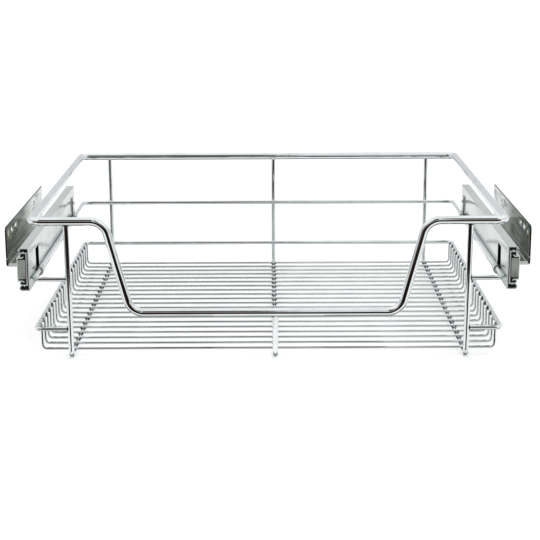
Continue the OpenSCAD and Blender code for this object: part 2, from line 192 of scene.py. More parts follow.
def zinc_finish(name, tint, shade, dullness, sheared=None, painted_shade=None, walls=None):
    """Bright zinc plate on strip: lengthwise rolling lines, faint clouds and fine specks.

    sheared is where the sheet's front end lies: the cut edge there is pale and dull. painted_shade
    is the distance from the middle within which the sheet is painted near black as the shade inside
    the runner. walls holds the corners of the space in which the walls of a web's windows are
    painted near black as the shade in the windows. Both need sheared."""
    material, tree, place = new_material(name)
    rolled = noise(tree, place, detail=3.0, stretch=(900.0, 7.0, 900.0))
    cloud = noise(tree, place, scale=22.0, detail=3.0)
    speck = noise(tree, place, scale=700.0)
    colour = mix_colour(tree, cloud.smooth(0.35, 0.68), tint, shade)
    colour = mix_colour(tree, 0.35 * rolled.smooth(0.4, 0.75), colour, dimmed(shade, 0.75))
    metal = 0.82
    dull = dullness + 0.1 * rolled.smooth(0.35, 0.8) + 0.05 * speck.smooth(0.5, 0.8)
    if sheared is not None:
        across, along, up = split(tree, place)
        edge = along.fade(sheared + STEP, sheared + 2 * STEP)
        metal = metal - 0.6 * edge
        dull = dull + 0.3 * edge
    # Painted shade: the middle member's face and the windows' walls are painted near black.
    black = None
    if painted_shade is not None:
        black = across.absolute().fade(painted_shade, painted_shade + 2 * STEP) * (1.0 - edge)
    elif walls:
        black = 1.0
        for part, low, high in zip((across.absolute(), along, up), *walls):
            black = black * part.smooth(low, low + STEP) * part.fade(high - STEP, high)
    if black is not None:
        colour = mix_colour(tree, black, colour, RECESS_SHADE)
        metal = metal * (1.0 - black)
    return finish_material(material, tree, {
        "Base Color": colour,
        "Metallic": metal,
        "Roughness": dull,
        "Normal": bump(tree, rolled + 0.3 * cloud + 0.1 * speck, strength=0.15, distance=0.0002),
    })


def bracket_finish(name, r, low, high):
    """Passivated zinc. low and high are the corners of the left bracket's box.

    The plate's inner face is painted dark with straw patches, as a painted reflection of the dark
    runner beside it. It is crossed by darker lines of painted reflection, painted paler to the back
    where it mirrors more light, darker along its top and front edges, and has painted glints round
    its holes and a painted highlight line near its foot. The other faces are a pale zinc with a
    straw cast. Each mask is set by the distance from the plate's outer face, front end, foot or top,
    in metres."""
    material, tree, place = new_material(name)
    across, along, up = split(tree, place)
    cloud = noise(tree, place, detail=3.0, stretch=(30.0, 16.0, 70.0))
    upright = noise(tree, place, stretch=(60.0, 34.0, 6.0))
    level = noise(tree, place, stretch=(60.0, 8.0, 120.0))
    glint_break = noise(tree, place, detail=3.0, stretch=(300.0, 80.0, 300.0))

    depth, run = -low.x - across.absolute(), along - low.y
    rise, drop = up - low.z, high.z - up
    skin, corner, margin, glint_reach = 0.00015, 0.0008, 0.06, 0.003
    plate = depth.fade(r.bracket_thickness + corner / 2, r.bracket_thickness + corner)
    outer = depth.fade(skin, 2 * skin)
    lip = run.fade(skin, 2 * skin) * (1.0 - plate)
    rear = run.smooth(margin, high.y - low.y - margin)
    # Painted glints: pale spots round the holes of the row, broken up by noise.
    hole_glints = 0.0
    for offset, half in r.hole_offsets():
        hole_glints = hole_glints + (run - offset).absolute().fade(half, half + glint_reach)
    row = (drop - r.hole_drop).absolute().fade(0.0022, 0.0045)
    hole_glints = hole_glints * row * glint_break.smooth(0.42, 0.5)
    # Painted highlight: a thin pale line a little above the plate's foot.
    highlight_line = rise.smooth(0.0075, 0.0080) * rise.fade(0.0088, 0.0094)
    border = drop.fade(0.0010, 0.0016) + run.fade(0.002, 0.004)

    # The inner face's colours: a painted reflection of the dark runner beside it, with straw
    # patches.
    dark = mix_colour(tree, cloud.smooth(0.46, 0.54), r.plate, r.straw)
    # Painted reflections: dark upright and level lines, and the back painted paler. Then a dark
    # border at the top and front edges, and the painted glints and highlight line in the cut edges'
    # colour.
    for share, second in (
            (0.95 * upright.smooth(0.49, 0.53), r.dark_reflection_and_border),
            (0.95 * level.smooth(0.52, 0.56), r.dark_reflection_and_border),
            (0.9 * rear * cloud.smooth(0.36, 0.48), r.zinc),
            (border, r.dark_reflection_and_border),
            (hole_glints + 0.7 * highlight_line, r.sheared)):
        dark = mix_colour(tree, share, dark, second)
    pale = mix_colour(tree, cloud.smooth(0.35, 0.7), r.zinc, r.zinc_shade)
    # The inner face takes the dark painted reflection; the other faces take the pale zinc.
    colour = mix_colour(tree, plate, mix_colour(tree, 0.35, pale, r.straw), dark)
    colour = mix_colour(tree, outer, colour, pale)
    return finish_material(material, tree, {
        "Base Color": mix_colour(tree, lip, colour, r.sheared),
        "Metallic": 1.0 - 0.85 * plate * (1.0 - outer) * (1.0 - 0.8 * rear) - 0.7 * lip,
        "Roughness": 0.06 + 0.08 * cloud + 0.3 * lip,
        "Specular IOR Level": 0.1,
        "Normal": bump(tree, cloud + 0.3 * upright + 0.3 * level, strength=0.3, distance=0.0005),
    })


def weld_finish(name, tint, shadowed):
    """The plated skin over a resistance weld: duller than the wire, with dark spots painted as the
    contact shade where the rods cross.
    """
    material, tree, place = new_material(name)
    spot = noise(tree, place, scale=260.0, detail=3.0)
    pit = noise(tree, place, scale=1500.0)
    return finish_material(material, tree, {
        "Base Color": mix_colour(tree, spot.smooth(0.34, 0.5), tint, shadowed),
        "Metallic": 1.0,
        "Roughness": 0.14 + 0.3 * spot.smooth(0.4, 0.7),
        "Normal": bump(tree, pit, strength=0.4, distance=0.0002),
    })


def plastic_finish(name, tint, dullness):
    """Moulded plastic with a fine spark eroded grain and soft flow marks."""
    material, tree, place = new_material(name)
    grain = noise(tree, place, scale=1800.0)
    flow = noise(tree, place, scale=90.0, stretch=(1.0, 1.0, 0.4))
    return finish_material(material, tree, {
        "Base Color": mix_colour(tree, flow.smooth(0.38, 0.62), tint, dimmed(tint, 0.6)),
        "Roughness": dullness + 0.12 * grain,
        "Normal": bump(tree, grain, strength=0.35, distance=0.0002),
    })


# ---- helpers: pieces ----

ROD_CREASE = math.radians(50)  # an edge that bends more than this stays sharp
SHEET_CREASE = math.radians(35)
FLAT = math.radians(0.4)  # faces that differ less than this are one face
SAME_POINT = 2e-6  # points of a CAD mesh nearer than this are one point
SAME_LEVEL = 1e-5


def add_object(name, data):
    obj = bpy.data.objects.new(name, data)
    bpy.context.scene.collection.objects.link(obj)
    return obj


def finish_piece(obj, body, replaced):
    """Hands a finished piece to its body, in place of the CAD nodes it stands for."""
    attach(obj, body)
    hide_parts(*replaced)


def mesh_object(name, points, edges=(), reach=None):
    """An object of points and edges, for a geometry tree to work on. reach sizes the beads."""
    mesh = bpy.data.meshes.new(name)
    mesh.from_pydata([tuple(p) for p in points], list(edges), [])
    if reach:
        attribute = mesh.attributes.new("reach", "FLOAT_VECTOR", "POINT")
        attribute.data.foreach_set("vector", [c for size in reach for c in size])
    return add_object(name, mesh)


def grow(name, source, group, values, sharp_angle=None):
    """Runs a geometry tree on source and returns its result as a plain mesh object."""
    modifier = source.modifiers.new("Build", "NODES")
    modifier.node_group = group
    for item in group.interface.items_tree:
        if item.item_type == "SOCKET" and item.in_out == "INPUT" and item.name in values:
            modifier[item.identifier] = values[item.name]
    bpy.context.view_layer.update()
    graph = bpy.context.evaluated_depsgraph_get()
    mesh = bpy.data.meshes.new_from_object(source.evaluated_get(graph))
    source.modifiers.remove(modifier)
    bpy.data.objects.remove(source)
    if sharp_angle:
        mesh.set_sharp_from_angle(angle=sharp_angle)
    mesh.name = name
    return add_object(name, mesh)


def geometry_tree(name, inputs):
    """A geometry tree with the inputs, given by kind. Returns the group, its adder and inputs."""
    group = bpy.data.node_groups.new(name, "GeometryNodeTree")
    for label, kind in {"Geometry": "Geometry", **inputs}.items():
        group.interface.new_socket(label, in_out="INPUT", socket_type="NodeSocket" + kind)
    group.interface.new_socket("Geometry", in_out="OUTPUT", socket_type="NodeSocketGeometry")
    tree = Tree(group)
    entry = group.nodes.new("NodeGroupInput")
    given = {socket.name: Part(tree, socket) for socket in entry.outputs if socket.name}
    return group, tree, given


def close_tree(tree, geometry, material):
    """Ends a geometry tree: real copies, shaded smooth, with their material set."""
    real = tree.add("GeometryNodeRealizeInstances", {"Geometry": geometry})
    smooth = tree.add("GeometryNodeSetShadeSmooth", {"Geometry": real})
    painted = tree.add("GeometryNodeSetMaterial", {"Geometry": smooth, "Material": material})
    tree.add("NodeGroupOutput", {0: painted})


def swept(tree, path, given):
    """A round rod with closed ends along a path, by the inputs Diameter and Sides."""
    section = tree.add("GeometryNodeCurvePrimitiveCircle",
                       {"Resolution": given["Sides"], "Radius": given["Diameter"] * 0.5})
    return tree.add("GeometryNodeCurveToMesh",
                    {"Curve": path, "Profile Curve": section, "Fill Caps": True})


def bent_rod_tree():
    """Draws a round rod along a path."""
    group, tree, given = geometry_tree(
        "Bent rod", {"Diameter": "Float", "Sides": "Int", "Finish": "Material"})
    path = tree.add("GeometryNodeMeshToCurve", {"Mesh": given["Geometry"]})
    close_tree(tree, swept(tree, path, given), given["Finish"])
    return group


def floor_wire_tree():
    """Bends a floor wire at its corners, repeats it to the back, and lets each sway a little."""
    group, tree, given = geometry_tree("Floor wires", {
        "Count": "Int", "Pitch": "Float", "Bend Radius": "Float", "Bend Steps": "Int",
        "Spacing": "Float", "Diameter": "Float", "Sides": "Int", "Sway": "Float",
        "Sway Scale": "Float", "Seed": "Float", "Finish": "Material"})
    path = tree.add("GeometryNodeMeshToCurve", {"Mesh": given["Geometry"]})
    bent = tree.add("GeometryNodeFilletCurve", {
        "Curve": path, "Radius": given["Bend Radius"], "Limit Radius": True,
        "Count": given["Bend Steps"]}, mode="POLY")
    even = tree.add("GeometryNodeResampleCurve", {"Curve": bent, "Length": given["Spacing"]},
                    mode="LENGTH")
    pitch = tree.add("ShaderNodeCombineXYZ", {"Y": given["Pitch"]})
    places = tree.add("GeometryNodeMeshLine", {"Count": given["Count"], "Offset": pitch})
    copies = tree.add("GeometryNodeInstanceOnPoints", {"Points": places, "Instance": even})
    wires = tree.add("GeometryNodeRealizeInstances", {"Geometry": copies})
    place = tree.add("GeometryNodeInputPosition")
    drift = tree.add("ShaderNodeTexNoise", {
        "Vector": place, "W": given["Seed"], "Scale": given["Sway Scale"], "Detail": 1.0},
        noise_dimensions="4D")
    offset = tree.add("ShaderNodeCombineXYZ", {"Y": (drift - 0.5) * given["Sway"]})
    swayed = tree.add("GeometryNodeSetPosition", {"Geometry": wires, "Offset": offset})
    close_tree(tree, swept(tree, swayed, given), given["Finish"])
    return group


def bead_tree():
    """Sets a bead of its own size, read from the attribute reach, at each point."""
    group, tree, given = geometry_tree("Beads", {"Fineness": "Int", "Finish": "Material"})
    reach = tree.add("GeometryNodeInputNamedAttribute", {"Name": "reach"},
                     data_type="FLOAT_VECTOR")
    bead = tree.add("GeometryNodeMeshIcoSphere", {"Radius": 1.0, "Subdivisions": given["Fineness"]})
    beads = tree.add("GeometryNodeInstanceOnPoints",
                     {"Points": given["Geometry"], "Instance": bead, "Scale": reach})
    close_tree(tree, beads, given["Finish"])
    return group


def rivet_tree():
    """Sets a rivet with two low domed heads at each point. The shank runs along X."""
    group, tree, given = geometry_tree("Rivets", {
        "Shank Radius": "Float", "Head Radius": "Float", "Head Height": "Float",
        "Grip": "Float", "Sides": "Int", "Rings": "Int", "Finish": "Material"})
    shank = tree.add("GeometryNodeMeshCylinder", {
        "Vertices": given["Sides"], "Radius": given["Shank Radius"], "Depth": given["Grip"]})
    dome = tree.add("GeometryNodeMeshUVSphere", {
        "Segments": given["Sides"], "Rings": given["Rings"], "Radius": 1.0})
    size = tree.add("ShaderNodeCombineXYZ", {
        "X": given["Head Radius"], "Y": given["Head Radius"], "Z": given["Head Height"]})
    joined = tree.add("GeometryNodeJoinGeometry")
    parts = [shank]
    for way in (-0.5, 0.5):
        end = tree.add("ShaderNodeCombineXYZ", {"Z": given["Grip"] * way})
        parts.append(tree.add("GeometryNodeTransform",
                              {"Geometry": dome, "Translation": end, "Scale": size}))
    for part in parts:
        tree.tree.links.new(part.socket, joined.socket.node.inputs[0])
    turned = tree.add("GeometryNodeTransform",
                      {"Geometry": joined, "Rotation": (0.0, math.radians(90), 0.0)})
    rivets = tree.add("GeometryNodeInstanceOnPoints",
                      {"Points": given["Geometry"], "Instance": turned})
    close_tree(tree, rivets, given["Finish"])
    return group


def bent_path(corners, radii, steps=12):
    """Points along a path whose corners are rounded to their radii. A radius of 0 is an end."""
    points = []
    count = len(corners)
    for i, (corner, radius) in enumerate(zip(corners, radii)):
        if radius == 0:
            points.append(corner)
            continue
        before = (corner - corners[i - 1]).normalized()
        after = (corners[(i + 1) % count] - corner).normalized()
        turn = before.angle(after)
        inward = (after - before * after.dot(before)).normalized()
        centre = corner - before * (radius * math.tan(turn / 2)) + inward * radius
        for k in range(steps + 1):
            a = turn * k / steps
            point = centre - inward * (radius * math.cos(a)) + before * (radius * math.sin(a))
            points.append(point)
    return points


def rod_piece(node, path, diameter, sides, closed=False):
    """A rod of the basket, swept along its path, in place of its CAD node."""
    edges = [(i, i + 1) for i in range(len(path) - 1)]
    if closed:
        edges.append((len(path) - 1, 0))
    source = mesh_object(node + "_path", path, edges)
    values = {"Diameter": diameter, "Sides": sides, "Finish": chrome()}
    rod = grow(node + "_rod", source, bent_rod_tree(), values, ROD_CREASE)
    finish_piece(rod, "basket", [node])


def rolled_corners(work, node, radius):
    """Rounds the two long corners of a channel where its web meets its flanges."""
    low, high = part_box(node)
    long_edges = [e for e in work.edges if e.calc_length() > 0.5 * (high.y - low.y)]
    outer = [e for e in long_edges
             if min(abs(e.verts[0].co.z - z) for z in (low.z, high.z)) < SAME_LEVEL]
    web = min(abs(e.verts[0].co.x) for e in outer)
    corners = [e for e in outer if abs(abs(e.verts[0].co.x) - web) < SAME_LEVEL]
    bmesh.ops.bevel(work, geom=corners, offset=radius, segments=5, profile=0.5, affect="EDGES")


def dress(node, ending, finish, body, rounding, segments=2, roll=0.0):
    """Puts a copy of a CAD node in its place, joined up and with its sharp edges rounded."""
    name = node + ending
    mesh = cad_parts[node].data.copy()
    mesh.name = name
    work = bmesh.new()
    work.from_mesh(mesh)
    bmesh.ops.remove_doubles(work, verts=work.verts, dist=SAME_POINT)
    bmesh.ops.dissolve_limit(work, angle_limit=FLAT, verts=work.verts, edges=work.edges)
    if roll:
        rolled_corners(work, node, roll)
    work.to_mesh(mesh)
    work.free()
    mesh.materials.clear()
    mesh.materials.append(finish)
    mesh.shade_smooth()
    mesh.set_sharp_from_angle(angle=SHEET_CREASE)
    obj = add_object(name, mesh)
    bevel = obj.modifiers.new("Rounded edges", "BEVEL")
    bevel.width = rounding
    bevel.segments = segments
    bevel.limit_method = "ANGLE"
    bevel.angle_limit = SHEET_CREASE
    bevel.use_clamp_overlap = True
    bevel.harden_normals = True
    finish_piece(obj, body, [node])


def rim_level(s):
    """Height of the rim's centreline. The top of the node's box is the butt weld's bead."""
    return RIM_HIGH.z - s.weld_bead - s.rim_diameter / 2


def front_y(z, s):
    """How far back the leaning front lies at a height."""
    rim_z, low_z = rim_level(s), s.hoop_diameter / 2
    return RIM_LOW.y + s.rim_diameter / 2 + s.front_lean * (rim_z - z) / (rim_z - low_z)


def hoop_places(s):
    """The three hoops from left to right: how far right each stands, and where its front ends."""
    rim_z = rim_level(s)
    return ((-s.hoop_offset, rim_z), (s.centre_hoop_x, rim_z - s.dip_depth), (s.hoop_offset, rim_z))


def spread(first, last, count):
    """Evenly spaced places from first to last."""
    return [first + (last - first) * i / (count - 1) for i in range(count)]


def wire_run(s):
    """How far back the first and the last floor wire lie."""
    return [wire[0].y + s.floor_diameter / 2 for wire in (FIRST_WIRE, LAST_WIRE)]


def dip_corners(s):
    """The dip's upper corners and its bar's corners, from left to right."""
    rim_z = rim_level(s)
    bar_z = rim_z - s.dip_depth
    top, bar = s.dip_top_width / 2, s.dip_bar_width / 2
    return [Vector((s.dip_shift + x, front_y(z, s), z))
            for x, z in ((-top, rim_z), (-bar, bar_z), (bar, bar_z), (top, rim_z))]


# ---- settings ----


def length(name, description, value, low=0.0):
    return bpy.props.FloatProperty(name=name, description=description, default=value, min=low,
                                   unit="LENGTH", subtype="DISTANCE", precision=5)


def coordinate(name, description, value):
    return length(name, description, value, low=-1.0)


def paint(name, description, value):
    return bpy.props.FloatVectorProperty(name=name, description=description, default=value,
                                         subtype="COLOR", size=3, min=0.0, max=1.0)


def fraction(name, description, value):
    return bpy.props.FloatProperty(name=name, description=description, default=value,
                                   subtype="FACTOR", min=0.0, max=1.0)


def angle(name, description, degrees):
    return bpy.props.FloatProperty(name=name, description=description,
                                   default=math.radians(degrees), subtype="ANGLE", unit="ROTATION")


class BasketSizes(bpy.types.PropertyGroup):
    """The wire basket's rods, bends and welds."""

    rim_diameter: length("Rim rod", "Diameter of the top rim's rod", 0.009)
    hoop_diameter: length("Hoop rod", "Diameter of the three hoops", 0.006)
    rail_diameter: length("Rail rod", "Diameter of the middle and lower rails", 0.005)
    floor_diameter: length("Floor wire", "Diameter of the floor wires", 0.003)
    weld_sink: length("Weld sink", "How far two crossing rods sink into each other", 0.0002)
    rim_corner: length("Rim corner", "Bend radius of the rim's plan corners", 0.010)
    rail_corner: length("Rail corner", "Bend radius of the rails' corners", 0.007)
    hoop_bend: length("Hoop bend", "Bend radius at the bottom of a hoop", 0.006)
    floor_bend: length("Floor wire bend", "Bend radius at the ends of a floor wire", 0.0045)
    dip_bend: length("Dip bend", "Bend radius of the dip's four corners", 0.018)
    dip_top_width: length("Dip at the rim", "Width of the dip between its upper corners", 0.331)
    dip_bar_width: length("Dip at the bar", "Width of the dip between its lower corners", 0.281)
    dip_depth: length("Dip depth", "Depth of the dip below the rim", 0.0985)
    dip_shift: coordinate("Dip shift", "How far the dip lies to the right of the middle", -0.003)
    front_lean: length("Front lean", "How far the front leans in at the bottom", 0.009)
    rim_run: length("Rim depth", "Depth of the rim between its centrelines", 0.410)
    mid_level: length("Middle rail level", "Height of the middle rail", 0.0875)
    low_level: length("Lower rail level", "Height of the lower rail", 0.033)
    hoop_offset: length("Hoop offset", "Distance from the middle to each outer hoop", 0.207)
    centre_hoop_x: coordinate("Centre hoop", "How far it stands to the right of the middle", 0.007)
    butt_weld_x: coordinate("Butt weld", "How far it lies to the right of the middle", 0.014)
    weld_bead: length("Weld bead", "How far the rim's butt weld stands out", 0.0005)
    sway: length("Wire sway", "How far a floor wire strays from a straight line", 0.0009)
    wire_count: bpy.props.IntProperty(name="Floor wires", description="Number of floor wires",
                                      default=20, min=2, max=60)
    seed: bpy.props.IntProperty(name="Sway seed", description="Picks how the floor wires stray",
                                default=4)
    chrome: paint("Chrome", "Colour of the chrome plate", (0.875, 0.915, 0.915))
    # Painted shade: dark spots on the weld beads, as the contact shade where rods cross.
    shadowed: paint("Burnt weld", "Colour of the burnt spots at the welds", (0.05, 0.045, 0.045))
    dullness: fraction("Dullness", "Roughness of the chrome plate", 0.045)


class RunnerSizes(bpy.types.PropertyGroup):
    """The runners', brackets' and fasteners' edges and finishes."""

    sheet_edge: length("Sheet edge", "Rounding of the runner sheet's edges", 0.00025)
    cage_edge: length("Cage edge", "Rounding of the ball cages' edges", 0.0000625)
    bracket_edge: length("Bracket edge", "Rounding of the bracket sheet's edges", 0.0003)
    plug_edge: length("Plug edge", "Rounding of the race plugs' edges", 0.00025)
    stop_corner: length("Stop corner", "Rounding of the end stops' corners", 0.0010)
    ball_large: length("Outer ball", "Diameter of the outer balls", 0.004)
    ball_small: length("Inner ball", "Diameter of the inner balls", 0.0035)
    rivet_shank: length("Rivet shank", "Radius of a rivet's shank", 0.002)
    rivet_head: length("Rivet head", "Radius of a rivet's head", 0.0036)
    rivet_height: length("Rivet head height", "Height of a rivet's head", 0.001)
    roll_radius: length("Roll radius", "Radius of the drawer channel's outer corners", 0.001)
    channel_web: length("Channel web", "Distance from the middle to a channel's web", 0.24555)
    channel_sheet: length("Channel sheet", "Thickness of a drawer channel's sheet", 0.0012)
    window_height: length("Window height", "Height of the windows in a channel's web", 0.0245)
    bracket_thickness: length("Bracket sheet", "Thickness of the bracket's sheet", 0.0015)
    hole_drop: length("Hole drop", "Distance from the plate's top edge to its holes", 0.009)
    first_hole: length("First hole", "Distance from the plate's front end to a hole", 0.014)
    slot_pitch: length("Slot pitch", "Distance from a hole to the next slot", 0.023)
    screw_pitch: length("Screw pitch", "Distance between the plate's round holes", 0.192)
    hole_diameter: length("Screw hole", "Diameter of the plate's round holes", 0.0045)
    slot_length: length("Slot", "Length of the plate's slots", 0.012)
    zinc: paint("Runner zinc", "Colour of the runners' plating", (0.71, 0.745, 0.72))
    zinc_shade: paint("Runner shade", "Clouds in the runners' plating", (0.61, 0.66, 0.63))
    dullness: fraction("Dullness", "Roughness of the runners' plating", 0.1)
    # The brackets' plating is dark as a painted reflection of the dark runner in the plates' inner
    # faces.
    plate: paint("Bracket zinc", "Colour of the brackets' plating", (0.17, 0.20, 0.165))
    # Painted reflections: the dark lines across the plates' inner faces. It also darkens their top
    # and front edges.
    dark_reflection_and_border: paint("Bracket shade", "Lines in the brackets' plating", (0.010, 0.022, 0.017))
    straw: paint("Bracket straw", "Patches in the brackets' plating", (0.30, 0.29, 0.20))
    # Also used for the painted glints round the brackets' holes and their painted highlight line.
    sheared: paint("Sheared edge", "Colour of cut edges and scraped spots", (0.80, 0.82, 0.77))
    cage: paint("Cage steel", "Colour of the ball cages", (0.32, 0.33, 0.34))
    ball: paint("Ball steel", "Colour of the balls", (0.82, 0.83, 0.85))
    grey: paint("Grey plastic", "Colour of the end stops", (0.29, 0.305, 0.285))
    black: paint("Black plastic", "Colour of the race plugs", (0.012, 0.012, 0.012))

    def hole_offsets(self):
        """How far each hole's middle lies behind the bracket's front end, and half its length."""
        first, last = self.first_hole, self.first_hole + self.screw_pitch
        hole, slot, pitch = self.hole_diameter / 2, self.slot_length / 2, self.slot_pitch
        return ((first, hole), (first + pitch, slot), (first + 2 * pitch, slot),
                (last - pitch, slot), (last, hole))


class StudioSettings(bpy.types.PropertyGroup):
    """The floor, the light, what metal mirrors, and the camera."""

    floor_colour: paint("Floor", "Colour of the studio floor", (0.93, 0.93, 0.93))
    floor_lift: fraction("Floor lift", "How much the floor is lifted for the camera", 0.31)
    overhead: paint("Overhead", "Colour that metal sees overhead", (0.95, 0.955, 0.97))
    horizon: paint("Horizon", "Colour that metal sees low to the sides", (0.70, 0.71, 0.73))
    near_floor: paint("Near floor", "The floor in front, as metal sees it", (1.0, 1.0, 1.0))
    far_floor: paint("Far floor", "The floor behind, as metal sees it", (0.97, 0.975, 0.975))
    # Painted shadow: the floor below, shaded by the basket, as metal sees it.
    under_floor: paint("Floor below", "The floor below, as metal sees it", (0.26, 0.265, 0.28))
    curtain: paint("Curtain", "Colour of the dark side of the studio", (0.014, 0.010, 0.008))
    curtain_edge: paint("Curtain edge", "The curtain to its left", (0.13, 0.095, 0.075))
    curtain_fold: paint("Curtain fold", "Colour of the curtain's lit fold", (0.30, 0.26, 0.24))
    slit: paint("Slit", "Light through the curtain's opening", (0.76, 0.75, 0.76))
    curtain_low: angle("Curtain foot", "Height of the curtain's lower edge at its sides", -22.5)
    curtain_high: angle("Curtain top", "Height of the curtain's upper edge at its middle", 56)
    curtain_left: angle("Curtain left", "Side angle of the curtain's left edge", -68)
    curtain_right: angle("Curtain right", "Side angle of the curtain's right edge", 44)
    curtain_soft: angle("Curtain softness", "How soft the curtain's edges are", 5)
    slit_left: angle("Slit left", "Side angle of the opening's left edge", 0.0)
    slit_right: angle("Slit right", "Side angle of the opening's right edge", 9.5)
    sky_level: fraction("Sky level", "Strength of the light from all round", 0.82)
    lamp_level: bpy.props.FloatProperty(name="Lamp level", default=0.6, min=0.0,
                                        description="Strength of the soft lamp overhead")
    lamp_spread: angle("Lamp spread", "How wide the soft lamp looks", 50)
    lamp_pitch: angle("Lamp pitch", "How far the lamp is turned about X", -12)
    lamp_roll: angle("Lamp roll", "How far the lamp is turned about Y", 10)
    camera_place: bpy.props.FloatVectorProperty(
        name="Camera place", description="Where the camera stands", unit="LENGTH",
        default=(-0.00027, -1.60725, 0.44335), subtype="TRANSLATION", precision=5)
    pitch: angle("Pitch", "How far the camera looks down", 13.894)
    yaw: angle("Yaw", "How far the camera looks to the right", 0.0785)
    roll: angle("Roll", "How far the camera leans", -0.2123)
    lens: bpy.props.FloatProperty(name="Lens", description="Focal length", default=93.333,
                                  unit="CAMERA")


# ---- operators: the basket ----

# Reach along X, Y and Z of the weld beads, in metres.
FLOOR_BEAD = (0.0012, 0.0022, 0.0010)
WIRE_END_BEAD = (0.0012, 0.0024, 0.0026)
BACK_RIM_BEAD = (0.0026, 0.0009, 0.0026)
BACK_RAIL_BEAD = (0.0024, 0.0008, 0.0022)
FRONT_RAIL_BEAD = (0.0009, 0.0027, 0.0027)
HOOP_TOP_BEAD = (0.0034, 0.0034, 0.0010)
BEAD_OFFSET = 0.0022  # from the middle of a hoop to each of the two beads at a floor wire


def chrome():
    """The basket's chrome, made once."""
    s = bpy.context.scene.basket_sizes
    return bpy.data.materials.get("Chrome plate") or chrome_finish(
        "Chrome plate", s.chrome, s.dullness)


class BASKET_OT_top_rim(bpy.types.Operator):
    """Bends the closed top rim, with its dip"""

    bl_idname = "basket.top_rim"
    bl_label = "Top rim"

    def execute(self, context):
        s = context.scene.basket_sizes
        half, rim_z = s.rim_diameter / 2, rim_level(s)
        side, front = RIM_HIGH.x - half, RIM_LOW.y + half
        back = front + s.rim_run
        left = [Vector((-side, y, rim_z)) for y in (back, front)]
        right = [Vector((side, y, rim_z)) for y in (front, back)]
        radii = [s.rim_corner] * 2 + [s.dip_bend] * 4 + [s.rim_corner] * 2
        loop = bent_path([*left, *dip_corners(s), *right], radii, steps=16)
        rod_piece("top_rim", loop, s.rim_diameter, sides=40, closed=True)
        return {"FINISHED"}


class BASKET_OT_rails(bpy.types.Operator):
    """Bends the middle and the lower rail, open at the front"""

    bl_idname = "basket.rails"
    bl_label = "Rails"

    def execute(self, context):
        s = context.scene.basket_sizes
        half = s.rail_diameter / 2
        end = s.hoop_offset + s.hoop_diameter / 2 - s.weld_sink
        for node, level in (("mid_rail", s.mid_level), ("lower_rail", s.low_level)):
            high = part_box(node)[1]
            side, back, front = high.x - half, high.y - half, front_y(level, s)
            corners = [Vector((x, y, level)) for x, y in (
                (-end, front), (-side, front), (-side, back),
                (side, back), (side, front), (end, front))]
            radii = [0, *[s.rail_corner] * 4, 0]
            rod_piece(node, bent_path(corners, radii), s.rail_diameter, sides=28)
        return {"FINISHED"}


class BASKET_OT_hoops(bpy.types.Operator):
    """Bends the three hoops that run down the front, under the floor and up behind the rim"""

    bl_idname = "basket.hoops"
    bl_label = "Hoops"

    def execute(self, context):
        s = context.scene.basket_sizes
        half = s.hoop_diameter / 2
        for node, (x, top) in zip(HOOPS, hoop_places(s)):
            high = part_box(node)[1]
            back = high.y - half
            corners = [Vector((x, y, z)) for y, z in (
                (front_y(top, s), top), (front_y(half, s), half), (back, half), (back, high.z))]
            path = bent_path(corners, [0, s.hoop_bend, s.hoop_bend, 0])
            rod_piece(node, path, s.hoop_diameter, sides=32)
        return {"FINISHED"}


class BASKET_OT_floor_wires(bpy.types.Operator):
    """Bends and repeats the floor wires from front to back"""

    bl_idname = "basket.floor_wires"
    bl_label = "Floor wires"

    def execute(self, context):
        s = context.scene.basket_sizes
        half = s.floor_diameter / 2
        low, high = FIRST_WIRE
        first, last = wire_run(s)
        side, level = high.x - half, low.z + half
        path = [(x, first, z) for x, z in (
            (-side, high.z), (-side, level), (side, level), (side, high.z))]
        source = mesh_object("floor_wire_path", path, [(0, 1), (1, 2), (2, 3)])
        values = {
            "Count": s.wire_count, "Pitch": (last - first) / (s.wire_count - 1),
            "Bend Radius": s.floor_bend, "Bend Steps": 6, "Spacing": 0.0015,
            "Diameter": s.floor_diameter, "Sides": 14, "Sway": s.sway, "Sway Scale": 11.0,
            "Seed": float(s.seed), "Finish": chrome(),
        }
        wires = grow("floor_wires", source, floor_wire_tree(), values, ROD_CREASE)
        nodes = [f"floor_wire_{i:02d}" for i in range(1, 21)]
        finish_piece(wires, "basket", nodes)
        return {"FINISHED"}


